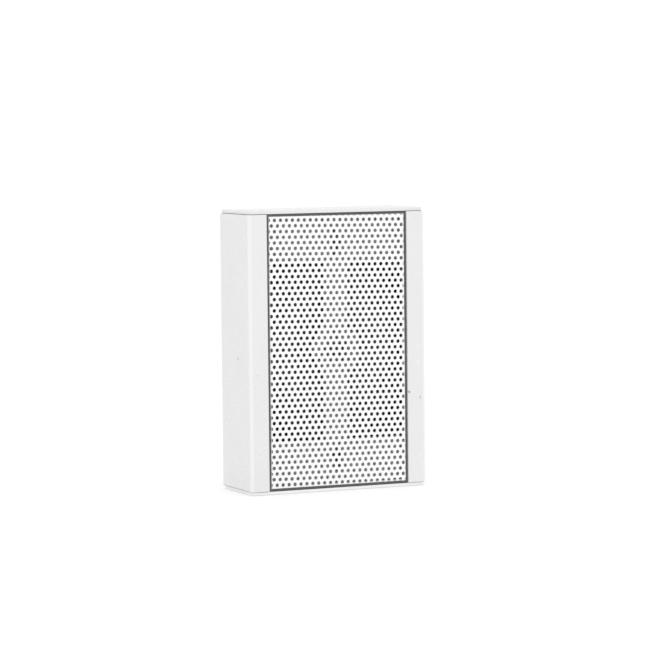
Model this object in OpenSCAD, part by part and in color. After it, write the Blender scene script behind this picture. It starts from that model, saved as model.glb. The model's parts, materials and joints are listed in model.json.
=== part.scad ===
/* [Cabinet] */
// Width across the two sides
body_w = 179; // [179:1:190]
// Depth from the stiles' faces to the back
body_d = 70; // [70:1:85]
// Height of the profile between the two end plates
body_h = 255; // [255:1:270]
// Thickness of the side walls, the back and the stiles
wall_t = 2; // [1.8:0.1:2.2]
// Rounding of the profile's four long corners
corner_r = 3; // [2:0.5:3]
// Width of each front stile
stile_w = 18.5; // [17.5:0.5:20]
// Thickness of the top and bottom plates
cap_t = 3; // [3:0.5:4]
// How far the end plates stand in from the profile's outline
cap_inset = 1.2; // [0.5:0.1:1.5]
// Thickness of the gasket under each end plate
seal_t = 0.5; // [0.3:0.1:0.8]

/* [Grille] */
// Width of the shadow gap round the grille
grille_gap = 2; // [1:0.5:3]
// How far the grille's face lies behind the stiles' faces
grille_recess = 0.6; // [0:0.1:1]
// Thickness of the perforated sheet
sheet_t = 1; // [0.8:0.1:1.2]
// Outside radius of the sheet's folds
fold_r = 1.4; // [1.3:0.1:2]
// Centre distance of the holes, staggered at 60 degrees
hole_pitch = 6; // [5.5:0.5:7]
// Diameter of the holes
hole_d = 3.5; // [2:0.25:3.75]
// How far the hole pattern is turned, clockwise seen from the front
pattern_skew = 0.76; // [0:0.02:1]
// Sideways shift of the hole pattern from the middle of the sheet
pattern_shift = -1.7; // [-3:0.1:3]

/* [Drive units] */
// Outside diameter of the woofer's chassis
chassis_d = 165; // [164:0.5:166]
// Diameter of the woofer's ferrite magnet
magnet_d = 80; // [70:1:84]
// Width of the bar that carries the tweeter
bar_w = 24; // [18:1:30]
// Diameter of the round hub in the middle of the bar
hub_d = 47; // [44:1:52]
// Height of the two windows beside the bar
window_h = 166; // [160:1:170]

/* [Back] */
// Distance between the two keyholes
keyhole_pitch = 100; // [80:5:120]
// Height of the keyholes' round ends above the base
keyhole_z = 200; // [190:5:215]
// Diameter of the cable grommet's hole
cable_d = 7; // [5:0.5:8]
// Height of the cable entry above the base
cable_z = 38; // [34:1:40]

/* [Hidden] */
$fn = 64;
end_t = cap_t + seal_t;
overall_h = body_h + 2 * end_t;
mid_z = overall_h / 2;
overlap = 0.01;

// Depths along Y, where the stiles' faces lie at -body_d / 2
face_y = -body_d / 2;
back_y = body_d / 2 - wall_t;
channel_w = 28;
channel_d = 3;
lip_d = 5.5;
lip_t = 1.6;
lip_round = 0.6;
opening_w = body_w - 2 * stile_w;
side_gap = grille_gap + 0.4;
grille_w = opening_w - 2 * side_gap;
grille_h = body_h - 2 * grille_gap;
grille_y = face_y + grille_recess;
foot_w = 4;
strip_y = face_y + 2;
seal_inset = 1.7;
seal_w = 9.5;
bridge_t = 1.2;
bridge_y = face_y + lip_d + sheet_t;
baffle_t = 15;
baffle_y = bridge_y + bridge_t;
baffle_back_y = baffle_y + baffle_t;
insert_w = body_w - 2 * wall_t - 2;
insert_h = body_h - 0.5;
rib_w = 3;
rib_t = 1.5;

// Screw ports that run the height of the profile
port_r = 4.2;
port_bore_r = 1.6;
port_root = 0.6;
port_x = body_w / 2 - wall_t - port_r + port_root;
port_y = [baffle_back_y + rib_t + port_r + 0.6, back_y - port_r + port_root];
port_slit = 1.2;

// Hole pattern
row_step = hole_pitch * sqrt(3) / 2;
pattern_rows = ceil(grille_h / row_step / 2) + 1;
pattern_steps = ceil(grille_w / hole_pitch / 2) + 1;
pattern_drop = -0.8;
flat_w = grille_w - 2 * fold_r - 0.3;
flat_h = grille_h - 2 * fold_r - 0.3;

// Sheet-metal front that carries the tweeter
window_reach = 76;
window_r = 4;
slot_z = 100;
slot_l = 26;
slot_w = 7;
side_screw_x = 79;
side_screw_z = [-118, -64, 64, 118];

// Woofer, along its own axis: 0 is the rear of the flange, + is towards the front
chassis_r = chassis_d / 2;
rebate = 9.5;
gasket_t = 1;
woofer_y = baffle_y + rebate - gasket_t;
cutout_r = 72;
steel_t = 1.2;
flange_inner_r = 70;
spider_shelf_z = -23.2;
spider_shelf_r = 49.5;
motor_z = -28.2;
motor_hole_r = 20;
pole_r = 12;
coil_r = 12.9;
gap_r = 13.8;
plate_t = 4;
magnet_t = 10;
bolt_circle_r = 77.8;
cone_rim_r = 60.4;
cone_top_r = 57;
cone_top_z = 1.2;
cone_apex_z = -19;
cone_t = 0.6;
roll_r = 3.6;
roll_t = 0.7;
surround_r = 73.5;
dust_cap_r = 25;
dust_cap_h = 3.5;

// Tweeter, along the same axis: 0 is the rear of its bridge
tweeter_r = 20;
tweeter_l = 11.5;
pot_r = 14.5;
dome_r = 9.5;
dome_h = 3.4;
tweeter_screw_r = 17.3;

// Parts on the inside of the back
transformer_x = -47;
foot_x = 26;
core_w = 41;
leg_w = core_w / 6;
core_stack = 16;
core_h = 5 * leg_w;
strap_t = 1;
strap_w = 14;
lead_hole_x = -8;
lead_hole_z = 42;
terminal_x = 34;
terminal_size = [24, 13, 15];
pole_pitch = 10;
capacitor_r = 5;
capacitor_l = 24;
capacitor_x = 44;
capacitor_z = 34;
clip_t = 1.2;

// Routes of the leads, from one end to the other
wire_r = 1;
thin_wire_r = 0.7;
tag_lead_y = 7.25;
winding_top_z = cable_z + (core_stack + 15) / 2;
bar_lead_y = bridge_y + bridge_t + thin_wire_r + 0.3;
pot_lead_y = baffle_y + tweeter_l + thin_wire_r + 0.05;
entry_y = back_y - 5.5;
input_red = [
    [29, entry_y, 41], [29, entry_y, 48], [24, 27, 56], [0, 26, 61], [-30, 22, 61.5], [-48, 17, 61],
    [-53.5, 16, 59.5], [-54, 16, winding_top_z + 2], [-54, 16, winding_top_z + 1], [-54, 16, winding_top_z]
];
input_black = [
    [39, entry_y, 41], [39, entry_y, 49], [32, 27, 60], [4, 25, 65], [-30, 18, 65], [-51, 12, 63.5],
    [-56.5, 11, 60.5], [-57, 11, winding_top_z + 2], [-57, 11, winding_top_z + 1], [-57, 11, winding_top_z]
];
woofer_red = [
    [6, tag_lead_y, 77], [6, tag_lead_y, 72], [5.8, 7.8, 69], [4, 10, 64], [-8, 13, 58.5], [-26, 14, 58.5],
    [-37, 15, 59], [-39.7, 16, 58], [-40, 16, winding_top_z + 2], [-40, 16, winding_top_z + 1], [-40, 16, winding_top_z]
];
woofer_black = [
    [-6, tag_lead_y, 77], [-6, tag_lead_y, 72], [-6.3, 7.6, 69], [-8, 8, 65], [-18, 7, 61], [-34, 8, 61],
    [-43, 9.5, 60], [-45.7, 10, 58.5], [-46, 10, winding_top_z + 2], [-46, 10, winding_top_z + 1],
    [-46, 10, winding_top_z]
];
capacitor_lead = [
    [6, 5.15, 76], [6, 5.15, 72], [6.4, 4.7, 69], [9, 3, 62], [22, -2, 52], [48, -6, 46], [66, -7.3, 41],
    [69.5, -7.3, 36.5], [67, -7.3, 34.2], [65, -7.3, 34], [63.5, -7.3, 34], [62, -7.3, 34]
];
tweeter_red = [
    [26, -7.3, 34], [24.5, -7.3, 34], [23, -7.3, 34], [18, -7.5, 34.6], [6, -8, 38], [-4, -9, 41], [-6.8, -12, 42],
    [-6.9, -18, 42], [-6.9, -23.5, 43.2], [-6.9, bar_lead_y, 47], [-6.9, bar_lead_y, 60],
    [-6.9, bar_lead_y, 85], [-6.9, bar_lead_y, 106], [-6.9, -23.5, 109.9], [-6.9, -18.5, 110],
    [-6.9, -15, 110.8], [-6.9, -14.6, 113.5], [-6.9, pot_lead_y, 117], [-6.9, pot_lead_y, 121]
];
tweeter_black = [
    [-6, 5.15, 76], [-6, 5.15, 72], [-6.2, 4.7, 69], [-7, 2, 62], [-9, -5, 52], [-9.3, -10.5, 43.5],
    [-9.1, -14, 42], [-9.1, -19, 42], [-9.1, -23.5, 43.2], [-9.1, bar_lead_y, 47], [-9.1, bar_lead_y, 60],
    [-9.1, bar_lead_y, 85], [-9.1, bar_lead_y, 106], [-9.1, -23.5, 109.9], [-9.1, -18.5, 110],
    [-9.1, -15, 110.8], [-9.1, -14.6, 113.5], [-9.1, pot_lead_y, 117], [-9.1, pot_lead_y, 121]
];

// Points a distance t to the left of a bent line, and the thin closed outline between the two
function side(a, b) = let(d = (b - a) / norm(b - a)) [-d[1], d[0]];
function shifted(line, k, t) = let(
    last = len(line) - 1,
    a = side(line[max(k - 1, 0)], line[max(k, 1)]),
    b = side(line[min(k, last - 1)], line[min(k + 1, last)])
) line[k] + t * (a + b) / (1 + a * b);
function thickened(line, t) = concat(line, [for (k = [len(line) - 1 : -1 : 0]) shifted(line, k, t)]);

// A smooth line through a route's points, each stretch cut into this many steps
lead_steps = 3;
lead_sides = 8;
function spline_at(route, k, t) = let(
    last = len(route) - 1,
    b = route[k],
    c = route[k + 1],
    a = k > 0 ? route[k - 1] : 2 * b - c,
    d = k + 1 < last ? route[k + 2] : 2 * c - b
) 0.5 * (2 * b + (c - a) * t + (2 * a - 5 * b + 4 * c - d) * t * t + (3 * b - a - 3 * c + d) * t * t * t);
function smooth(route) = concat(
    [for (k = [0 : len(route) - 2], n = [0 : lead_steps - 1]) spline_at(route, k, n / lead_steps)],
    [route[len(route) - 1]]
);
function heading(line, k) = let(v = line[min(k + 1, len(line) - 1)] - line[max(k - 1, 0)]) v / norm(v);
function across(v) = let(
    helper = [0.31, 0.25, 0.92],
    w = cross(v, abs(v * helper) > 0.98 ? [1, 0, 0] : helper)
) w / norm(w);
// The side direction is carried along the line, so that the tube doesn't twist
function carried(v, previous) = let(w = previous - (previous * v) * v) w / norm(w);
function sides_along(line, k = 0, found = []) = k == len(line) ? found :
    sides_along(line, k + 1, concat(found, [k == 0 ? across(heading(line, 0)) : carried(heading(line, k), found[k - 1])]));

module tube(route, r) {
    line = smooth(route);
    out = sides_along(line);
    n = lead_sides;
    rings = len(line);
    points = [for (k = [0 : rings - 1], a = [0 : n - 1]) let(
        u = out[k],
        v = cross(heading(line, k), u)
    ) line[k] + r * (cos(a * 360 / n) * u + sin(a * 360 / n) * v)];
    walls = [for (k = [0 : rings - 2], a = [0 : n - 1]) let(
        b = (a + 1) % n
    ) [k * n + a, (k + 1) * n + a, (k + 1) * n + b, k * n + b]];
    ends = [[for (a = [0 : n - 1]) a], [for (a = [n - 1 : -1 : 0]) (rings - 1) * n + a]];
    polyhedron(points, concat(walls, ends), convexity = 6);
}

// Flat outlines
module rounded_rect(w, d, r) {
    square([w - 2 * r, d], center = true);
    square([w, d - 2 * r], center = true);
    for (x = [-1, 1], y = [-1, 1])
        translate([x * (w / 2 - r), y * (d / 2 - r)]) circle(r = r);
}

module obround(length, width) {
    square([width, length - width], center = true);
    for (y = [-1, 1])
        translate([0, y * (length - width) / 2]) circle(d = width);
}

module sector(inner_r, outer_r, angle) {
    intersection() {
        difference() {
            circle(r = outer_r);
            circle(r = inner_r);
        }
        reach = outer_r * 1.5;
        polygon([[0, 0], reach * [cos(angle / 2), -sin(angle / 2)], reach * [cos(angle / 2), sin(angle / 2)]]);
    }
}

// Stands an outline drawn in X and Z upright, and thickens it from y towards the back
module upright(y, t) {
    translate([0, y + t, mid_z]) rotate([90, 0, 0]) linear_extrude(t) children();
}

// Lays a turned part on the drive units' axis, its own +Z towards the front
module on_axis(y) {
    translate([0, y, mid_z]) rotate([90, 0, 0]) children();
}

// Stands a part on the inside of the back, its own +Z towards the front
module on_back(x) {
    translate([x, back_y, cable_z]) rotate([90, 0, 0]) children();
}

// Screw with a 90 degree countersunk head and a cross recess, its top at 0
module countersunk_screw(head_r, shank_r, length) {
    head_h = head_r - shank_r;
    difference() {
        union() {
            translate([0, 0, -head_h]) cylinder(r1 = shank_r, r2 = head_r, h = head_h);
            translate([0, 0, -length]) cylinder(r = shank_r, h = length - head_h + overlap);
        }
        for (a = [0, 90])
            rotate(a) translate([-head_r * 0.55, -0.4, -head_h * 0.55]) cube([head_r * 1.1, 0.8, head_h]);
    }
}

// Screw with a low round head and a cross recess, its seat at 0
module pan_screw(head_r, head_h, shank_r, length) {
    difference() {
        union() {
            cylinder(r = head_r, h = head_h * 0.6);
            translate([0, 0, head_h * 0.6]) cylinder(r1 = head_r, r2 = head_r * 0.6, h = head_h * 0.4);
            translate([0, 0, -length]) cylinder(r = shank_r, h = length + overlap);
        }
        for (a = [45, 135])
            rotate(a) translate([-head_r * 0.5, -0.35, head_h * 0.4]) cube([head_r, 0.7, head_h]);
    }
}

// Hole for a countersunk screw, the face that it enters at 0
module screw_sink(head_r, hole_r, depth) {
    translate([0, 0, -depth]) cylinder(r = hole_r, h = depth + 1);
    translate([0, 0, hole_r - head_r]) cylinder(r1 = hole_r, r2 = head_r + overlap, h = head_r - hole_r + overlap);
}

module port_places() {
    for (x = [-1, 1], y = port_y) translate([x * port_x, y]) children();
}

// What the rounding takes off the edges beside the opening
module lip_edges() {
    for (x = [-1, 1]) translate([x * opening_w / 2, face_y]) difference() {
        translate([x > 0 ? -overlap : -lip_round, -overlap]) square(lip_round + overlap);
        translate([x * lip_round, lip_round]) circle(r = lip_round);
    }
}

// Cabinet: one extruded length with its front open between two stiles
module profile_outline() {
    difference() {
        union() {
            difference() {
                rounded_rect(body_w, body_d, corner_r);
                rounded_rect(body_w - 2 * wall_t, body_d - 2 * wall_t, 0.8);
                translate([-opening_w / 2, face_y - 1]) square([opening_w, wall_t + 2]);
            }
            translate([-channel_w / 2 - wall_t, back_y - channel_d])
                square([channel_w + 2 * wall_t, channel_d + wall_t / 2]);
            for (x = [-opening_w / 2 - lip_t, opening_w / 2])
                translate([x, face_y]) square([lip_t, lip_d]);
            for (x = [-body_w / 2 + wall_t / 2, body_w / 2 - wall_t - rib_w], y = [bridge_y - rib_t, baffle_back_y])
                translate([x, y]) square([rib_w + wall_t / 2, rib_t]);
            port_places() circle(r = port_r);
        }
        translate([-channel_w / 2, back_y + wall_t - channel_d]) square([channel_w, channel_d + 1]);
        lip_edges();
        port_places() circle(r = port_bore_r);
        for (x = [-port_x, port_x - port_r - 1], y = port_y)
            translate([x, y - port_slit / 2]) square([port_r + 1, port_slit]);
    }
}

module keyhole() {
    circle(d = 9);
    translate([0, 4.5]) square([4.5, 9], center = true);
    translate([0, 9]) circle(d = 4.5);
}

module through_back() {
    translate([0, back_y + wall_t + 1, 0]) rotate([90, 0, 0]) linear_extrude(channel_d + wall_t + 2) children();
}

module back_screw_places() {
    for (x = [transformer_x - foot_x, transformer_x + foot_x, terminal_x])
        translate([x, back_y + wall_t, cable_z]) rotate([-90, 0, 0]) children();
}

module cabinet_profile() color("white") difference() {
    translate([0, 0, end_t]) linear_extrude(body_h) profile_outline();
    through_back() {
        for (x = [-1, 1]) translate([x * keyhole_pitch / 2, keyhole_z]) keyhole();
        translate([0, cable_z]) circle(d = cable_d + 4);
    }
    back_screw_places() screw_sink(3, 1.5, wall_t + 1);
}

module end_plate() {
    w = body_w - 2 * cap_inset;
    d = body_d - 2 * cap_inset;
    difference() {
        intersection() {
            linear_extrude(cap_t) rounded_rect(w, d, corner_r + 0.5);
            rotate([90, 0, 0]) linear_extrude(d + 2, center = true) plate_edge(w);
            rotate([90, 0, 90]) linear_extrude(w + 2, center = true) plate_edge(d);
        }
        port_places() translate([0, 0, cap_t]) screw_sink(3.5, port_bore_r + 0.2, cap_t + 1);
    }
}

// Section of an end plate, with the outer edges broken
module plate_edge(w) {
    chamfer = 0.5;
    polygon([
        [-w / 2, 0], [w / 2, 0], [w / 2, cap_t - chamfer], [w / 2 - chamfer, cap_t],
        [-w / 2 + chamfer, cap_t], [-w / 2, cap_t - chamfer]
    ]);
}

module top_plate() color("white") translate([0, 0, overall_h - cap_t]) end_plate();
module bottom_plate() color("white") translate([0, 0, cap_t]) mirror([0, 0, 1]) end_plate();

// Thin ring between an end plate and the profile
module end_gasket() {
    w = body_w - 2 * seal_inset;
    d = body_d - 2 * seal_inset;
    linear_extrude(seal_t) difference() {
        rounded_rect(w, d, corner_r);
        rounded_rect(w - 2 * seal_w, d - 2 * seal_w, corner_r);
        port_places() circle(r = port_bore_r + 0.3);
    }
}

module top_gasket() color("#282828") translate([0, 0, end_t + body_h]) end_gasket();
module bottom_gasket() color("#282828") translate([0, 0, cap_t]) end_gasket();

module plate_screws() {
    port_places() translate([0, 0, -0.1]) countersunk_screw(3.4, port_bore_r, 16);
}

module top_plate_screws() color("gainsboro") translate([0, 0, overall_h]) plate_screws();
module bottom_plate_screws() color("gainsboro") mirror([0, 0, 1]) plate_screws();

// Grille: a pan folded from perforated sheet, with a foot along each long side
module pan_section(w, r) {
    depth = bridge_y - grille_y;
    translate([-w / 2 + r, 0]) square([w - 2 * r, depth]);
    translate([-w / 2, r]) square([w, depth - r]);
    for (x = [-1, 1]) translate([x * (w / 2 - r), r]) circle(r = r);
}

module pan_block(inset) {
    w = grille_w - 2 * inset;
    h = grille_h - 2 * inset;
    translate([0, grille_y + inset, mid_z]) intersection() {
        linear_extrude(h, center = true) pan_section(w, fold_r - inset);
        rotate([0, 90, 0]) linear_extrude(w, center = true) pan_section(h, fold_r - inset);
    }
}

// Places of the holes that cross the edge of the flat face, or of those that lie inside it
module hole_places(crossing) {
    for (row = [-pattern_rows : pattern_rows - 1], step = [-pattern_steps : pattern_steps]) {
        along = (step + (row % 2 == 0 ? 0 : 0.5)) * hole_pitch;
        up = (row + 0.5) * row_step;
        x = along * cos(pattern_skew) + up * sin(pattern_skew) + pattern_shift;
        z = up * cos(pattern_skew) - along * sin(pattern_skew) + pattern_drop;
        past_edge = max(abs(x) - flat_w / 2, abs(z) - flat_h / 2) + hole_d / 2;
        is_crossing = past_edge > 0 && past_edge < hole_d * 0.8;
        if (crossing ? is_crossing : past_edge <= 0) translate([x, z]) children();
    }
}

module punch() {
    cylinder(d = hole_d, h = 4 * sheet_t, center = true);
}

module grille() color("white") difference() {
    union() {
        difference() {
            pan_block(0);
            pan_block(sheet_t);
        }
        for (x = [-grille_w / 2 - foot_w, grille_w / 2 - sheet_t])
            translate([x, bridge_y - sheet_t, mid_z - grille_h / 2]) cube([foot_w + sheet_t, sheet_t, grille_h]);
    }
    translate([0, grille_y, mid_z]) rotate([90, 0, 0]) {
        hole_places(false) punch();
        intersection() {
            cube([flat_w, flat_h, 8 * sheet_t], center = true);
            hole_places(true) punch();
        }
    }
}

module grille_foam_strip() color("#202020") difference() {
    upright(strip_y, bridge_y - sheet_t - strip_y) square([opening_w, body_h], center = true);
    upright(strip_y - 1, body_d) square([grille_w, grille_h], center = true);
}

// Pressed sheet with two windows, the bar and hub left standing between them
module bridge_windows() {
    difference() {
        rounded_rect(2 * window_reach, window_h, window_r);
        square([bar_w, window_h + 1], center = true);
        circle(d = hub_d);
    }
}

module tweeter_bridge() color("#c8c8c8") upright(bridge_y, bridge_t) difference() {
    square([insert_w, insert_h], center = true);
    bridge_windows();
    circle(r = 12.5);
    for (a = [90, 210, 330]) rotate(a) translate([tweeter_screw_r, 0]) circle(r = 1.1);
    for (z = [-slot_z, slot_z]) translate([0, z]) obround(slot_l, slot_w);
    side_screw_places() circle(r = 1.8);
}

module side_screw_places() {
    for (x = [-side_screw_x, side_screw_x], z = side_screw_z) translate([x, z]) children();
}

module bridge_screws() color("#303030") on_axis(bridge_y) {
    side_screw_places() pan_screw(3.2, 1.8, 1.6, 9);
    for (z = [-slot_z, slot_z]) translate([0, z, 0]) {
        pan_screw(4.8, 2.2, 1.9, 12);
    }
}

module baffle_board() color("#262422") difference() {
    upright(baffle_y, baffle_t) square([insert_w, insert_h], center = true);
    on_axis(baffle_y + rebate) cylinder(r = chassis_r + 0.4, h = rebate + 1);
    on_axis(baffle_back_y + 1) cylinder(r = cutout_r, h = baffle_t);
    on_axis(baffle_back_y + 1) woofer_screw_places() cylinder(r = 2.6, h = baffle_t);
    on_axis(baffle_y + 10) side_screw_places() cylinder(r = 1.6, h = 11);
    on_axis(baffle_y + 12) for (z = [-slot_z, slot_z]) translate([0, z, 0]) cylinder(r = 1.9, h = 13);
    at_capacitor() clip_screw_places() translate([0, 0, -6]) cylinder(r = 1.1, h = 7);
    translate([lead_hole_x, baffle_back_y + 1, lead_hole_z]) rotate([90, 0, 0])
        linear_extrude(baffle_t + 2) rotate(90) obround(8, 5);
    translate([lead_hole_x - 3, baffle_y - 1, lead_hole_z]) cube([6, 5, mid_z - chassis_r - lead_hole_z + 1]);
}

module woofer_screw_places() {
    for (a = [45 : 90 : 315]) rotate(a) translate([bolt_circle_r, 0]) children();
}

// Woofer
module woofer_chassis() color("#1c1c1c") on_axis(woofer_y) difference() {
    rotate_extrude() polygon(thickened([
        [motor_hole_r, motor_z], [36, motor_z], [38.2, spider_shelf_z], [spider_shelf_r, spider_shelf_z],
        [flange_inner_r - 2, -4.5], [flange_inner_r, 0], [chassis_r, 0]
    ], steel_t));
    for (a = [30 : 60 : 330])
        rotate(a) translate([0, 0, motor_z]) linear_extrude(-motor_z) sector(spider_shelf_r + 3, flange_inner_r - 5, 42);
    translate([0, 0, -1]) woofer_screw_places() cylinder(r = 2.2, h = steel_t + 2);
}

module woofer_gasket() color("#101010") on_axis(woofer_y + gasket_t) difference() {
    cylinder(r = chassis_r, h = gasket_t);
    translate([0, 0, -1]) cylinder(r = cutout_r, h = gasket_t + 2);
    translate([0, 0, -1]) woofer_screw_places() cylinder(r = 2.4, h = gasket_t + 2);
}

module woofer_screws() color("#303030") on_axis(woofer_y - steel_t)
    woofer_screw_places() pan_screw(3.8, 2.4, 2, 11);

module woofer_nuts() color("silver") on_axis(baffle_back_y) woofer_screw_places() difference() {
    union() {
        translate([0, 0, -1]) cylinder(r = 7, h = 1);
        cylinder(r = 2.55, h = 4.5);
    }
    translate([0, 0, -2]) cylinder(r = 2, h = 7);
}

function cone_z(r) = cone_apex_z + (cone_top_z - cone_apex_z) * pow((r - coil_r) / (cone_top_r - coil_r), 0.9);

module woofer_cone() color("#2a2a2a") on_axis(woofer_y) rotate_extrude() polygon(thickened(concat(
    [[coil_r, cone_apex_z], [coil_r + 0.8, cone_apex_z]],
    [for (k = [1 : 7]) let(r = coil_r + (cone_top_r - coil_r) * k / 8) [r, cone_z(r)]],
    [[cone_top_r, cone_top_z], [cone_rim_r, cone_top_z]]
), cone_t));

module woofer_surround() color("#181818") on_axis(woofer_y) rotate_extrude() {
    inner_r = cone_rim_r + 0.4;
    polygon(thickened(concat(
        [[cone_top_r + 0.6, cone_top_z + cone_t], [inner_r, cone_top_z + cone_t]],
        [for (a = [165 : -15 : 15]) [inner_r + roll_r + roll_r * cos(a), cone_top_z + cone_t + roll_r * sin(a)]],
        [[flange_inner_r - 0.4, steel_t], [surround_r, steel_t]]
    ), roll_t));
}

module woofer_dust_cap() color("#222222") on_axis(woofer_y) rotate_extrude() {
    slope = cone_z(dust_cap_r + 0.5) - cone_z(dust_cap_r - 0.5);
    base_z = cone_z(dust_cap_r) + cone_t * sqrt(1 + slope * slope) + 0.05;
    polygon(thickened([
        [0, base_z + dust_cap_h], [1, base_z + dust_cap_h],
        for (k = [1 : 8]) let(r = dust_cap_r * k / 8) [r, base_z + dust_cap_h * (1 - pow(r / dust_cap_r, 2))]
    ], 0.5));
}

module woofer_spider() color("#a08040") on_axis(woofer_y) rotate_extrude() {
    shelf_top = spider_shelf_z + steel_t;
    polygon(thickened(concat(
        [[coil_r, shelf_top + 0.6]],
        [for (r = [15 : 1.25 : 35]) [r, shelf_top + 0.6 + 0.9 * sin((r - 15) * 72)]],
        [[38, shelf_top], [48, shelf_top]]
    ), 0.5));
}

module woofer_voice_coil() color("#b0703a") on_axis(woofer_y) difference() {
    union() {
        translate([0, 0, motor_z - 9]) cylinder(r = coil_r, h = cone_apex_z - motor_z + 9.5);
        translate([0, 0, motor_z - 6]) cylinder(r = coil_r + 0.5, h = 8);
    }
    translate([0, 0, motor_z - 10]) cylinder(r = coil_r - 0.4, h = 30);
}

module ring(outer_r, inner_r, h) {
    difference() {
        cylinder(r = outer_r, h = h);
        translate([0, 0, -1]) cylinder(r = inner_r, h = h + 2);
    }
}

module woofer_top_plate() color("#b8b8b8") on_axis(woofer_y)
    translate([0, 0, motor_z - plate_t]) ring(magnet_d / 2 - 3, gap_r, plate_t);

module woofer_magnet() color("#3a3a3c") on_axis(woofer_y)
    translate([0, 0, motor_z - plate_t - magnet_t]) ring(magnet_d / 2, 21, magnet_t);

module woofer_yoke() color("#b8b8b8") on_axis(woofer_y) difference() {
    union() {
        translate([0, 0, motor_z - 2 * plate_t - magnet_t]) cylinder(r = magnet_d / 2 - 3, h = plate_t);
        translate([0, 0, motor_z - plate_t - magnet_t - overlap]) cylinder(r = pole_r, h = plate_t + magnet_t + 1);
    }
    translate([0, 0, motor_z - 30]) cylinder(r = 4, h = 40);
}

// Connection board on the rear of the spider shelf, below the motor
module woofer_tag_board() color("#8a5a2c") on_axis(woofer_y) translate([0, -48, spider_shelf_z - 1.5]) difference() {
    translate([-10, -5.5, 0]) cube([20, 11, 1.5]);
    for (x = [-6, 6]) translate([x, -1.5, -1]) cylinder(r = 1.2, h = 4);
}

module woofer_tags() color("#c8a850") on_axis(woofer_y) for (x = [-6, 6])
    translate([x, -49.5, spider_shelf_z - 1.5]) {
        translate([0, 0, -0.6]) linear_extrude(0.6) {
            circle(r = 2.2);
            translate([-1.2, -9]) square([2.4, 9]);
        }
        translate([0, 0, -overlap]) cylinder(r = 1.2, h = 1.5);
    }

// Tweeter
module tweeter_housing() color("#1c1c1c") on_axis(baffle_y) difference() {
    translate([0, 0, -tweeter_l]) cylinder(r = tweeter_r, h = tweeter_l);
    translate([0, 0, -tweeter_l - 1]) cylinder(r = pot_r + 0.1, h = tweeter_l - 0.6);
    cylinder(r = 12.3, h = 10, center = true);
    for (a = [90, 210, 330]) rotate(a) translate([tweeter_screw_r, 0, -6]) cylinder(r = 1, h = 7);
}

module tweeter_dome() color("#141414") on_axis(baffle_y) rotate_extrude() {
    base = -1.6;
    polygon(thickened(concat(
        [[0, dome_h], [0.8, dome_h]],
        [for (a = [12 : 12 : 72]) [dome_r * sin(a) / sin(72), dome_h - 3.3 * (1 - cos(a)) / (1 - cos(72))]],
        [[dome_r + 0.5, 0.6], [dome_r + 1.1, 0.3], [dome_r + 1.5, base], [12.2, base]]
    ), 0.4));
}

module tweeter_magnet() color("#b8b8b8") on_axis(baffle_y) difference() {
    translate([0, 0, -tweeter_l]) cylinder(r = pot_r, h = tweeter_l - 1.6);
    translate([0, 0, -5]) ring(dome_r + 0.6, dome_r - 0.6, 5);
}

module tweeter_screws() color("#303030") on_axis(bridge_y)
    for (a = [90, 210, 330]) rotate(a) translate([tweeter_screw_r, 0, 0]) pan_screw(2, 1.2, 0.95, 6);

// Capacitor lying along X behind the board, held by a saddle clip
module at_capacitor() {
    translate([capacitor_x, baffle_back_y, capacitor_z]) children();
}

module tweeter_capacitor() color("#2f4f7f") at_capacitor() translate([0, capacitor_r, 0]) rotate([0, 90, 0]) {
    cylinder(r = capacitor_r, h = capacitor_l, center = true);
    for (s = [-1, 1]) translate([0, 0, s * (capacitor_l / 2 + 3)]) cylinder(r = 0.4, h = 6 + overlap, center = true);
}

module capacitor_clip() color("#e0e0e0") at_capacitor() difference() {
    rotate([0, 90, 0]) linear_extrude(8, center = true) {
        translate([0, capacitor_r]) circle(r = capacitor_r + 1);
        translate([-capacitor_r - 1, 0]) square([2 * capacitor_r + 2, capacitor_r]);
        translate([-capacitor_r - 8, 0]) square([2 * capacitor_r + 16, clip_t]);
    }
    rotate([0, 90, 0]) linear_extrude(10, center = true) {
        translate([0, capacitor_r]) circle(r = capacitor_r);
        translate([-capacitor_r, -1]) square([2 * capacitor_r, capacitor_r + 1]);
    }
    clip_screw_places() cylinder(r = 1.2, h = 8, center = true);
}

// Along +Z here is the way out of the board, to the rear
module clip_screw_places() {
    for (z = [-capacitor_r - 5, capacitor_r + 5]) translate([0, 0, z]) rotate([-90, 0, 0]) children();
}

module clip_screws() color("silver") at_capacitor() clip_screw_places()
    translate([0, 0, clip_t]) pan_screw(2.2, 1.4, 1.1, 7);

// Line transformer on the inside of the back
module transformer_core() color("#4a4a48") on_back(transformer_x) rotate([90, 0, 0])
    linear_extrude(core_stack, center = true) difference() {
        translate([-core_w / 2, 0]) square([core_w, core_h]);
        for (x = [-2 * leg_w, leg_w]) translate([x, leg_w]) square([leg_w, 3 * leg_w]);
    }

module transformer_winding() color("#b0602a") on_back(transformer_x) translate([0, 0, leg_w + 0.1]) difference() {
    linear_extrude(3 * leg_w - 0.2) rounded_rect(4 * leg_w - 0.3, core_stack + 15, 3);
    translate([-leg_w, -core_stack / 2, -1]) cube([2 * leg_w, core_stack, 3 * leg_w + 2]);
}

module transformer_frame() color("silver") on_back(transformer_x) difference() {
    rotate([90, 0, 0]) linear_extrude(strap_w, center = true) difference() {
        union() {
            translate([-core_w / 2 - strap_t, 0]) square([core_w + 2 * strap_t, core_h + strap_t]);
            translate([-foot_x - 4, 0]) square([2 * foot_x + 8, strap_t]);
        }
        translate([-core_w / 2, -1]) square([core_w, core_h + 1]);
    }
    for (x = [-foot_x, foot_x]) translate([x, 0, -1]) cylinder(r = 1.4, h = 4);
}

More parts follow.
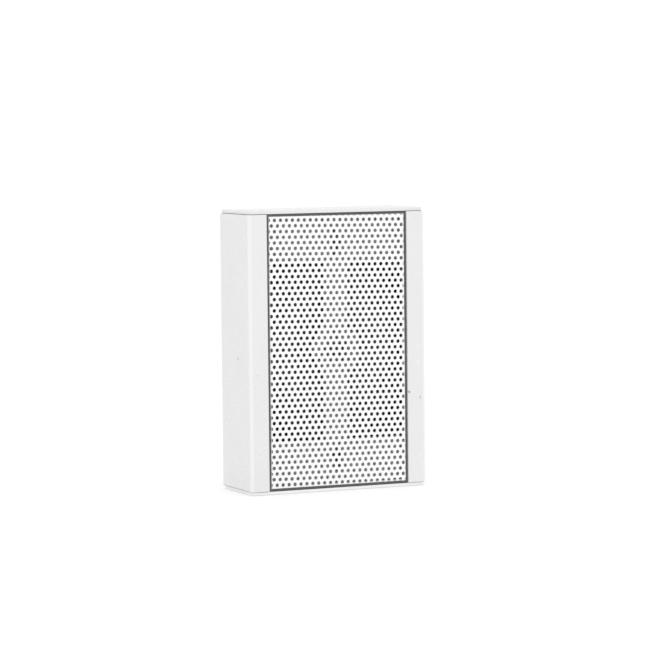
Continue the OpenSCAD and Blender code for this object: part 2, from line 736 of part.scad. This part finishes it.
module transformer_screws() color("silver") for (x = [-foot_x, foot_x])
    translate([transformer_x + x, back_y + wall_t, cable_z]) rotate([-90, 0, 0])
        translate([0, 0, -0.1]) countersunk_screw(2.9, 1.35, 7);

// Two-way screw terminal beside the cable entry
module terminal_block() color("#303236") on_back(terminal_x) difference() {
    translate([0, 0, terminal_size[2] / 2]) intersection() {
        cube(terminal_size, center = true);
        rotate([0, 90, 0]) linear_extrude(terminal_size[0], center = true)
            rounded_rect(terminal_size[2], terminal_size[1], 1.5);
    }
    for (x = [-pole_pitch / 2, pole_pitch / 2]) {
        translate([x, 0, 5.5]) cylinder(r = 2.2, h = 12);
        translate([x, 0, 5.5]) rotate([90, 0, 0]) cylinder(r = 1.6, h = 20, center = true);
    }
    translate([0, 0, -1]) cylinder(r = 1.3, h = 6);
}

module terminal_screws() color("silver") on_back(terminal_x) for (x = [-pole_pitch / 2, pole_pitch / 2])
    translate([x, 0, 5.5 + wire_r]) difference() {
        cylinder(r = 2.2, h = 6);
        translate([-3, -0.4, 5]) cube([6, 0.8, 2]);
    }

module terminal_fixing_screw() color("silver") translate([terminal_x, back_y + wall_t, cable_z])
    rotate([-90, 0, 0]) translate([0, 0, -0.1]) countersunk_screw(2.9, 1.25, 6);

module cable_grommet() color("#181818") translate([0, back_y + wall_t - channel_d, cable_z]) rotate([-90, 0, 0])
    rotate_extrude() difference() {
        lip = 2;
        translate([cable_d / 2, -wall_t - lip]) square([5, wall_t + 2 * lip]);
        translate([cable_d / 2 + 2, -wall_t]) square([5, wall_t]);
    }

// Leads between the parts inside
module input_lead_red() color("#b02020") tube(input_red, wire_r);
module input_lead_black() color("#202020") tube(input_black, wire_r);
module woofer_lead_red() color("#b02020") tube(woofer_red, thin_wire_r);
module woofer_lead_black() color("#202020") tube(woofer_black, thin_wire_r);
module capacitor_lead_red() color("#b02020") tube(capacitor_lead, thin_wire_r);
module tweeter_lead_red() color("#b02020") tube(tweeter_red, thin_wire_r);
module tweeter_lead_black() color("#202020") tube(tweeter_black, thin_wire_r);

cabinet_profile();
top_plate();
bottom_plate();
top_gasket();
bottom_gasket();
top_plate_screws();
bottom_plate_screws();
grille();
grille_foam_strip();
tweeter_bridge();
bridge_screws();
baffle_board();
woofer_chassis();
woofer_gasket();
woofer_screws();
woofer_nuts();
woofer_surround();
woofer_cone();
woofer_dust_cap();
woofer_spider();
woofer_voice_coil();
woofer_top_plate();
woofer_magnet();
woofer_yoke();
woofer_tag_board();
woofer_tags();
tweeter_housing();
tweeter_dome();
tweeter_magnet();
tweeter_screws();
tweeter_capacitor();
capacitor_clip();
clip_screws();
transformer_core();
transformer_winding();
transformer_frame();
transformer_screws();
terminal_block();
terminal_screws();
terminal_fixing_screw();
cable_grommet();
input_lead_red();
input_lead_black();
woofer_lead_red();
woofer_lead_black();
capacitor_lead_red();
tweeter_lead_red();
tweeter_lead_black();
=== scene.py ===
import json
import math

import bpy
from mathutils import Euler, Matrix, Vector


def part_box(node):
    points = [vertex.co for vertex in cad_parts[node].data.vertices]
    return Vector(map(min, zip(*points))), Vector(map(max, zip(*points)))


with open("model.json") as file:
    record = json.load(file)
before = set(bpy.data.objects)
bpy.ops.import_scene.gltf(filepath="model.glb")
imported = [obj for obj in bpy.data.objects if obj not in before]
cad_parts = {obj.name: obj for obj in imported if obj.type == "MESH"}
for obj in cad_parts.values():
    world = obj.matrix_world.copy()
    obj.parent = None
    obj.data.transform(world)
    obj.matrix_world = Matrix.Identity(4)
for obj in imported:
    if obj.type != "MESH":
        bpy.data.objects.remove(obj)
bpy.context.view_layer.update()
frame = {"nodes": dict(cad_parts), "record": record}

MM = 0.001

# The camera stands left of the object and a little above its middle
CAMERA_AZIMUTH = -24.27
CAMERA_ELEVATION = 4.08
CAMERA_ROLL = -0.59
CAMERA_AT = (-1.1744, -2.6160, 0.3542)
CAMERA_LENS = 168.3

# Soft studio light: a bright room, and weak lamps as (place, width, power)
ROOM_LIGHT = 1.035
LAMPS = {
    "key": ((0.3, -2.6, 1.5), 1.4, 6.5),
    "fill": ((1.9, -1.5, 0.9), 1.4, 1.5),
    "top": ((0.0, -0.4, 2.6), 1.2, 3),
    "edge": ((-2.2, -1.0, 0.4), 0.3, 1.4),
}
LAMPS_AIM = Vector((0, 0, 0.131))
FLOOR_RADIUS = 14
FLOOR_GREYS, FLOOR_GLOW = (0.48, 0.50), 0.48

SMOOTH_ANGLE = math.radians(32)

# Lengths from here to the node trees are in mm, in the frame of the solids. The grille,
# the woofer and the tweeter all have their middle at this height.
CENTRE_Z = 131.0

# The sheet's hole pattern, turned by SKEW, and the half width and height of its flat part
PITCH, HOLE_R, SKEW = 6.0, 1.75, math.radians(0.76)
PATTERN_AT = (-1.7, 130.2)
FLAT_HALF = (67.05, 123.95)
FOLD_BACK_Y = -33.0

# Holes are painted on the folds as painted shade, from a little inside the flat part: dark in a
# strip round the line where the left fold begins to bend, and faint grey elsewhere
FOLD_LAP = 0.7
LEFT_BEND_X, LEFT_BEND_HALF = -67.3, 0.8
DARK_HOLE_SHADE, FAINT_HOLE_SHADE = (0.03, 0.03, 0.03), (0.5, 0.5, 0.5)

# Centre of the arc of the cabinet's front corners, outwards and forwards of the middle.
# The painted highlight on them starts and is whole where a point is this far past it, both ways
# added.
CORNER_X, CORNER_Y = 86.5, 32.0
CORNER_HIGHLIGHT_SPAN = (2.9, 3.8)

# The bottom plate is painted a little lighter, as painted light, and grey along its foot, as
# painted shade
PLATE_TOP_Z, FOOT_Z = 3.0, 0.5

# The pale ring round the tweeter's dome starts this far from the dome's axis
DOME_RING_R = 7.5

# Grey felt on the board's front face behind the bridge's two slots: place and half widths
BOARD_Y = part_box("baffle_board")[0][1] / MM
FELT_PADS = [((0, BOARD_Y, CENTRE_Z + z), (9, 3, 16)) for z in (-100, 100)]
FELT_GREY = (0.24, 0.24, 0.24)

# Scuffs and specks in the cabinet's paint, and a darker line along the bottom seam of the left
# side:
# place, half widths, and how much lighter or darker than the paint
MARKS = [
    ((-89.5, -7.3, 125.0), (1.0, 1.0, 2.2), 0.5),
    ((-89.5, -8.0, 119.5), (1.0, 0.9, 0.9), 0.86),
    ((-82.4, -35.0, 111.0), (2.6, 1.0, 0.9), 0.9),
    ((72.2, -35.0, 89.0), (1.1, 1.0, 1.2), 0.3),
    ((83.6, -35.0, 83.7), (0.9, 1.0, 1.8), 0.62),
    ((82.0, -35.0, 131.8), (1.1, 1.0, 1.6), 1.10),
    ((81.8, -35.0, 116.8), (1.2, 1.0, 1.1), 1.12),
    ((-89.5, 0.0, 3.7), (1.0, 55.0, 0.8), 0.68),
]


# Node trees
class Tree:
    """Short calls for building one material's nodes."""

    def __init__(self, name):
        self.material = bpy.data.materials.new(name)
        self.material.use_nodes = True
        self.nodes = self.material.node_tree.nodes
        self.links = self.material.node_tree.links
        self.shader = self.nodes["Principled BSDF"]
        self.place = self.nodes.new("ShaderNodeTexCoord").outputs["Object"]

    def link(self, source, target):
        self.links.new(source, target)

    def stretched(self, scale):
        """The place, scaled along each axis."""
        node = self.nodes.new("ShaderNodeMapping")
        node.inputs["Scale"].default_value = scale
        self.link(self.place, node.inputs["Vector"])
        return node.outputs["Vector"]

    def noise(self, size, detail=3.0, rough=0.5, vector=None):
        """Noise whose features are about size metres wide."""
        node = self.nodes.new("ShaderNodeTexNoise")
        node.inputs["Scale"].default_value = 1 / size
        node.inputs["Detail"].default_value = detail
        node.inputs["Roughness"].default_value = rough
        self.link(vector or self.place, node.inputs["Vector"])
        return node.outputs["Fac"]

    def cells(self, size):
        """Distance from the middles of cells about size metres apart."""
        node = self.nodes.new("ShaderNodeTexVoronoi")
        node.inputs["Scale"].default_value = 1 / size
        self.link(self.place, node.inputs["Vector"])
        return node.outputs["Distance"]

    def waves(self, size, axis, distortion=0.0):
        """Even bands, size metres from one to the next, across an axis."""
        node = self.nodes.new("ShaderNodeTexWave")
        node.bands_direction = axis
        node.inputs["Scale"].default_value = math.pi / (10 * size)
        node.inputs["Distortion"].default_value = distortion
        self.link(self.place, node.inputs["Vector"])
        return node.outputs["Fac"]

    def weave(self, thread):
        """Threads along X and Z, thread metres from one to the next."""
        return self.product(self.waves(thread, "X"), self.waves(thread, "Z"))

    def mapped(self, value, low, high, start=0.3, end=0.7):
        """Low where value is at start, high where it is at end, and held beyond them."""
        node = self.nodes.new("ShaderNodeMapRange")
        node.inputs["From Min"].default_value = start
        node.inputs["From Max"].default_value = end
        node.inputs["To Min"].default_value = low
        node.inputs["To Max"].default_value = high
        self.link(value, node.inputs["Value"])
        return node.outputs["Result"]

    def mixed(self, value, first, second, start=0.3, end=0.7):
        """The first colour where value is low, the second where it is high."""
        node = self.nodes.new("ShaderNodeValToRGB")
        ramp = node.color_ramp
        ramp.elements[0].position, ramp.elements[0].color = start, (*first, 1)
        ramp.elements[1].position, ramp.elements[1].color = end, (*second, 1)
        self.link(value, node.inputs["Fac"])
        return node.outputs["Color"]

    def blended(self, factor, first, second):
        """The first colour source, turned into the second colour where factor is 1."""
        node = self.nodes.new("ShaderNodeMix")
        node.data_type = "RGBA"
        self.link(factor, node.inputs["Factor"])
        self.link(first, node.inputs[6])
        node.inputs[7].default_value = (*second, 1)
        return node.outputs[2]

    def near(self, place, half_widths, edge):
        """1 inside a small patch round a place in mm, 0 away from it, with a soft uneven edge.

        The edge runs from 0.45 to 1.1 of the half widths.
        """
        node = self.nodes.new("ShaderNodeMapping")
        node.inputs["Location"].default_value = [-p / w for p, w in zip(place, half_widths)]
        node.inputs["Scale"].default_value = [1 / (w * MM) for w in half_widths]
        self.link(self.place, node.inputs["Vector"])
        length = self.nodes.new("ShaderNodeVectorMath")
        length.operation = "LENGTH"
        self.link(node.outputs["Vector"], length.inputs[0])
        return self.mapped(self.math("ADD", length.outputs["Value"], edge), 1, 0, 0.45, 1.1)

    def folded_holes(self):
        """1 where a hole of the pattern runs on past the sheet's flat part."""
        past_side = self.math("SUBTRACT", self.off("X", 0), FLAT_HALF[0])
        past_end = self.math("SUBTRACT", self.off("Z", CENTRE_Z), FLAT_HALF[1])
        past = self.math("GREATER_THAN", self.math("MAXIMUM", past_side, past_end), -FOLD_LAP)
        front = self.math("LESS_THAN", self.along("Y"), FOLD_BACK_Y)
        return self.product(self.pattern_holes(), past, front)

    def pattern_holes(self):
        """1 inside a hole of the turned, staggered pattern."""
        row = PITCH * math.sqrt(3) / 2
        c, s = math.cos(SKEW), math.sin(SKEW)
        across = self.dotted((c, 0, -s), -c * PATTERN_AT[0] + s * PATTERN_AT[1])
        up = self.dotted((s, 0, c), -s * PATTERN_AT[0] - c * PATTERN_AT[1])
        nearest = [
            self.wrapped(across, up, row, shift) for shift in ((0, 0.5), (0.5, 1.5))
        ]
        return self.math("LESS_THAN", self.math("MINIMUM", *nearest), HOLE_R)

    def wrapped(self, across, up, row, shift):
        """Distance to the nearest point of a grid that repeats every pitch and every two rows."""
        x = self.math("ADD", across, -shift[0] * PITCH)
        z = self.math("ADD", up, -shift[1] * row)
        x = self.math("WRAP", x, PITCH / 2, -PITCH / 2)
        z = self.math("WRAP", z, row, -row)
        return self.hypotenuse(x, z)

    def front_corner_highlight(self):
        """1 on the two rounded front corners, where a painted highlight makes the paint lighter.
        """
        past_side = self.math("SUBTRACT", self.off("X", 0), CORNER_X)
        past_front = self.math("SUBTRACT", self.dotted((0, -1, 0), 0), CORNER_Y)
        past = self.mapped(self.math("ADD", past_side, past_front), 0, 1, *CORNER_HIGHLIGHT_SPAN)
        return self.product(past, self.mapped(self.noise(0.004, 3), 0.75, 1))

    def dotted(self, direction, offset):
        """How far a point lies along a direction, plus an offset, both in mm."""
        node = self.nodes.new("ShaderNodeVectorMath")
        node.operation = "DOT_PRODUCT"
        node.inputs[1].default_value = [v / MM for v in direction]
        self.link(self.place, node.inputs[0])
        return self.math("ADD", node.outputs["Value"], offset)

    def along(self, axis, offset=0):
        return self.dotted([float(axis == a) for a in "XYZ"], offset)

    def off(self, axis, value):
        """Distance in mm from the plane where an axis has this value."""
        return self.math("ABSOLUTE", self.along(axis, -value))

    def hypotenuse(self, x, z):
        squares = [self.product(v, v) for v in (x, z)]
        return self.math("SQRT", self.math("ADD", *squares))

    def product(self, first, *others):
        for other in others:
            first = self.math("MULTIPLY", first, other)
        return first

    def math(self, kind, a, *others):
        node = self.nodes.new("ShaderNodeMath")
        node.operation = kind
        for socket, value in zip(node.inputs, (a, *others)):
            if isinstance(value, (int, float)):
                socket.default_value = value
            else:
                self.link(value, socket)
        return node.outputs["Value"]

    def colour(self, source):
        self.link(source, self.shader.inputs["Base Color"])

    def rough(self, source):
        self.link(source, self.shader.inputs["Roughness"])

    def bump(self, height, depth, strength=1.0):
        """Relief of about depth metres."""
        node = self.nodes.new("ShaderNodeBump")
        node.inputs["Strength"].default_value = strength
        node.inputs["Distance"].default_value = depth
        self.link(height, node.inputs["Height"])
        previous = self.shader.inputs["Normal"].links
        if previous:
            self.link(previous[0].from_socket, node.inputs["Normal"])
        self.link(node.outputs["Normal"], self.shader.inputs["Normal"])

    def set(self, **values):
        for name, value in values.items():
            self.shader.inputs[name.replace("_", " ")].default_value = value


def shade(grey, factor, tint=(1, 1, 1)):
    """A tinted grey, or a colour given as the tint, made lighter or darker."""
    return tuple(min(1, grey * factor * t) for t in tint)


# Materials
def powder_coat(name, grey, roughness, grain, tint=(1, 1, 1), detail=None):
    """Baked powder paint: a fine orange peel, with faint broad clouds in tone and gloss.

    The detail is a function that paints more over the colour.
    """
    tree = Tree(name)
    clouds = tree.noise(0.06, 2)
    colour = tree.mixed(clouds, shade(grey, 0.985, tint), shade(grey, 1.01, tint))
    tree.colour(detail(tree, colour, grey, tint) if detail else colour)
    tree.rough(tree.mapped(tree.noise(0.012, 4), roughness - 0.05, roughness + 0.06))
    tree.bump(tree.noise(grain, 2, 0.6), 0.00004, 0.5)
    tree.bump(tree.noise(grain * 6, 2), 0.00008, 0.35)
    return tree.material


def cabinet_wear_and_painted_light(tree, colour, grey, tint):
    """The marks, the painted highlight on the front corners, and the bottom plate painted lighter
    with painted shade along its foot.
    """
    edge = tree.mapped(tree.noise(0.0012, 3), -0.25, 0.25)
    for place, half_widths, factor in MARKS:
        inside = tree.near(place, half_widths, edge)
        colour = tree.blended(inside, colour, shade(grey, factor, tint))
    # Painted highlight: the rounded front corners are made lighter than the paint
    colour = tree.blended(tree.front_corner_highlight(), colour, shade(grey, 1.1, tint))
    height = tree.along("Z")
    # Painted light and shade: the bottom plate is made lighter and its foot greyer
    for top, factor in ((PLATE_TOP_Z, 1.09), (FOOT_Z, 0.8)):
        below = tree.math("LESS_THAN", height, top)
        colour = tree.blended(below, colour, shade(grey, factor, tint))
    return colour


def hole_shade_on_folds(tree, colour, grey, tint):
    """Painted shade in place of the parts of the sheet's holes that lie on its folded edges."""
    holes = tree.folded_holes()
    bend = tree.math("LESS_THAN", tree.off("X", LEFT_BEND_X), LEFT_BEND_HALF)
    # Painted shade in place of holes on the folds: faint grey, and dark along the left bend
    colour = tree.blended(holes, colour, FAINT_HOLE_SHADE)
    return tree.blended(tree.product(holes, bend), colour, DARK_HOLE_SHADE)


def dull_paint(name, grey, roughness):
    """Sprayed or dipped paint on pressed steel."""
    tree = Tree(name)
    tree.colour(tree.mixed(tree.noise(0.01, 4), shade(grey, 0.85), shade(grey, 1.15)))
    tree.rough(tree.mapped(tree.noise(0.004, 3), roughness - 0.08, roughness + 0.08))
    tree.bump(tree.noise(0.0009, 3), 0.00004, 0.4)
    return tree.material


def zinc_steel(name, grey, tint=(1, 1, 1)):
    """Plated steel with faint crystals and a drawn grain."""
    tree = Tree(name)
    tree.set(Metallic=1.0)
    crystals = tree.cells(0.004)
    tree.colour(tree.mixed(crystals, shade(grey, 0.9, tint), shade(grey, 1.08, tint), 0.0, 0.9))
    grain = tree.noise(0.0006, 4, 0.6, tree.stretched((1, 12, 1)))
    tree.rough(tree.mapped(grain, 0.28, 0.46))
    tree.bump(grain, 0.00002, 0.3)
    return tree.material


def rubber(name, grey):
    """Dull black with a fine grain."""
    tree = Tree(name)
    tree.colour(tree.mixed(tree.noise(0.005, 4), shade(grey, 0.8), shade(grey, 1.25)))
    tree.rough(tree.mapped(tree.noise(0.002, 3), 0.52, 0.72))
    tree.bump(tree.noise(0.0006, 3), 0.00005, 0.4)
    return tree.material


def foam(name, grey):
    """Open cells about half a millimetre across."""
    tree = Tree(name)
    cells = tree.cells(0.0006)
    tree.colour(tree.mixed(cells, shade(grey, 0.4), shade(grey, 1.5), 0.05, 0.7))
    tree.set(Roughness=0.95)
    tree.bump(cells, 0.0003, 0.8)
    return tree.material


def paper_pulp(name, grey):
    """Pressed paper: short fibres under a thin coat."""
    tree = Tree(name)
    fibres = tree.noise(0.0012, 6, 0.7)
    tree.colour(tree.mixed(fibres, shade(grey, 0.7), shade(grey, 1.4)))
    tree.rough(tree.mapped(fibres, 0.6, 0.8))
    tree.bump(fibres, 0.00015, 0.6)
    return tree.material


def fibreboard(name, grey, patches):
    """Stained board; the patches are places and half widths in mm of felt stuck to it."""
    tree = Tree(name)
    specks = tree.noise(0.0009, 6, 0.75)
    dark, light = shade(grey, 0.5, (1, 0.95, 0.9)), shade(grey, 1.7, (1, 0.95, 0.88))
    colour = tree.mixed(specks, dark, light, 0.35, 0.75)
    edge = tree.mapped(tree.noise(0.001, 3), -0.05, 0.05)
    for place, half_widths in patches:
        colour = tree.blended(tree.near(place, half_widths, edge), colour, FELT_GREY)
    tree.colour(colour)
    tree.set(Roughness=0.85)
    tree.bump(specks, 0.0001, 0.5)
    return tree.material


def woven(name, colour, thread):
    """Plain weave with threads along X and Z."""
    tree = Tree(name)
    crossed = tree.weave(thread)
    tree.colour(tree.mixed(crossed, shade(1, 0.55, colour), colour, 0.05, 0.7))
    tree.set(Roughness=0.8)
    tree.bump(crossed, thread * 0.25, 0.7)
    return tree.material


def dome_cloth(name, grey, ring_grey, thread):
    """Dark coated cloth with a pale ring round it."""
    tree = Tree(name)
    crossed = tree.weave(thread)
    dome = tree.mixed(crossed, shade(grey, 0.55), shade(grey, 1.1), 0.05, 0.7)
    radius = tree.hypotenuse(tree.along("X"), tree.along("Z", -CENTRE_Z))
    ring = tree.mapped(radius, 0, 1, DOME_RING_R - 0.3, DOME_RING_R + 0.3)
    tree.colour(tree.blended(ring, dome, shade(ring_grey, 1)))
    tree.rough(tree.mapped(tree.noise(0.002, 3), 0.6, 0.8))
    tree.bump(crossed, thread * 0.25, 0.6)
    return tree.material


def moulded(name, colour, roughness, grain=0.0005):
    """Moulded plastic with a fine sparked texture."""
    tree = Tree(name)
    low, high = shade(1, 0.9, colour), shade(1, 1.08, colour)
    tree.colour(tree.mixed(tree.noise(0.008, 3), low, high))
    tree.rough(tree.mapped(tree.noise(0.003, 3), roughness - 0.06, roughness + 0.06))
    tree.bump(tree.noise(grain, 2), 0.00003, 0.4)
    return tree.material


def banded(name, colour, step, axis, metallic):
    """Layers or turns lying side by side along one axis."""
    tree = Tree(name)
    tree.set(Metallic=metallic)
    bands = tree.waves(step, axis, 0.4)
    tree.colour(tree.mixed(bands, shade(1, 0.5, colour), colour, 0.05, 0.5))
    tree.rough(tree.mapped(bands, 0.55, 0.4))
    tree.bump(bands, step * 0.3, 0.6)
    return tree.material


def ferrite(name):
    """Sintered grey ceramic with a coarse grain."""
    tree = Tree(name)
    grain = tree.noise(0.0012, 6, 0.7)
    tree.colour(tree.mixed(grain, (0.035, 0.035, 0.038), (0.075, 0.075, 0.08)))
    tree.rough(tree.mapped(grain, 0.45, 0.7))
    tree.bump(grain, 0.0001, 0.4)
    return tree.material


def floor_paint(name):
    """Pale floor that glows a little, so that it is as white as a studio's sweep."""
    tree = Tree(name)
    tree.colour(tree.mixed(tree.noise(0.8, 2), *(shade(grey, 1) for grey in FLOOR_GREYS)))
    tree.set(Roughness=0.8, Emission_Color=(1, 1, 1, 1), Emission_Strength=FLOOR_GLOW)
    return tree.material


# Finishes by the record's material slots
FINISHES = {
    "cabinet_white": powder_coat(
        "cabinet_white", 0.738, 0.28, 0.0007, (0.998, 0.998, 1), cabinet_wear_and_painted_light
    ),
    "grille_white": powder_coat(
        "grille_white", 0.88, 0.4, 0.0009, (1, 0.985, 1), hole_shade_on_folds
    ),
    "bridge_grey": powder_coat("bridge_grey", 0.5, 0.5, 0.0008),
    "board_black": fibreboard("board_black", 0.03, FELT_PADS),
    "chassis_black": dull_paint("chassis_black", 0.09, 0.45),
    "foam_black": foam("foam_black", 0.09),
    "rubber_black": rubber("rubber_black", 0.08),
    "cone_black": paper_pulp("cone_black", 0.13),
    "screw_bright": zinc_steel("screw_bright", 0.78),
    "screw_black": dull_paint("screw_black", 0.05, 0.35),
    "plate_zinc": zinc_steel("plate_zinc", 0.62, (1, 1, 1.02)),
    "ferrite": ferrite("ferrite"),
    "spider_cloth": woven("spider_cloth", (0.46, 0.30, 0.10), 0.0008),
    "copper": banded("copper", (0.62, 0.26, 0.11), 0.0003, "Y", 0.9),
    "phenolic": moulded("phenolic", (0.20, 0.085, 0.03), 0.35, 0.001),
    "brass": zinc_steel("brass", 0.75, (1, 0.78, 0.38)),
    "plastic_black": moulded("plastic_black", (0.022, 0.022, 0.023), 0.5),
    "dome_silk": dome_cloth("dome_silk", 0.09, 0.36, 0.0004),
    "capacitor_sleeve": moulded("capacitor_sleeve", (0.02, 0.06, 0.25), 0.25, 0.003),
    "clip_nylon": moulded("clip_nylon", (0.72, 0.71, 0.66), 0.45),
    "lamination": banded("lamination", (0.16, 0.16, 0.165), 0.0005, "Z", 0.8),
    "winding_tape": moulded("winding_tape", (0.45, 0.22, 0.03), 0.3, 0.002),
    "wire_red": moulded("wire_red", (0.42, 0.02, 0.02), 0.35, 0.002),
    "wire_black": moulded("wire_black", (0.02, 0.02, 0.02), 0.35, 0.002),
}


def dress_nodes():
    """Gives each CAD node its finish, and rounds the shading of its curved faces."""
    slots = {s["node"]: s["material_slot"] for s in frame["record"]["subparts"]}
    for name, obj in frame["nodes"].items():
        for slot in obj.material_slots:
            slot.material = FINISHES[slots[name]]
        for polygon in obj.data.polygons:
            polygon.use_smooth = True
        weld = obj.modifiers.new("weld", "WELD")
        weld.merge_threshold = 1e-6
        split = obj.modifiers.new("split", "EDGE_SPLIT")
        split.split_angle = SMOOTH_ANGLE


def add_camera():
    data = bpy.data.cameras.new("camera")
    data.lens = CAMERA_LENS
    data.sensor_width = 36
    data.clip_end = 60
    camera = bpy.data.objects.new("camera", data)
    bpy.context.scene.collection.objects.link(camera)
    tilt = math.radians(90 - CAMERA_ELEVATION)
    turn = Euler((tilt, 0, math.radians(CAMERA_AZIMUTH))).to_matrix()
    roll = Matrix.Rotation(math.radians(CAMERA_ROLL), 3, "Z")
    camera.matrix_world = Matrix.Translation(CAMERA_AT) @ (turn @ roll).to_4x4()
    bpy.context.scene.camera = camera


def area_light(name, at, size, power):
    data = bpy.data.lights.new(name, "AREA")
    data.shape = "DISK"
    data.size = size
    data.energy = power
    light = bpy.data.objects.new(name, data)
    bpy.context.scene.collection.objects.link(light)
    light.location = at
    light.rotation_euler = (LAMPS_AIM - Vector(at)).to_track_quat("-Z", "Y").to_euler()


def add_light():
    world = bpy.data.worlds.new("room")
    bpy.context.scene.world = world
    world.use_nodes = True
    background = world.node_tree.nodes["Background"]
    background.inputs["Color"].default_value = (1, 1, 1, 1)
    background.inputs["Strength"].default_value = ROOM_LIGHT
    for name, (at, size, power) in LAMPS.items():
        area_light(name, at, size, power)


def add_floor():
    bpy.ops.mesh.primitive_circle_add(vertices=96, radius=FLOOR_RADIUS, fill_type="NGON")
    floor = bpy.context.object
    floor.name = "floor"
    floor.data.materials.append(floor_paint("floor_paint"))


add_camera()
bpy.context.scene.view_settings.view_transform = "Standard"
dress_nodes()
add_floor()
add_light()
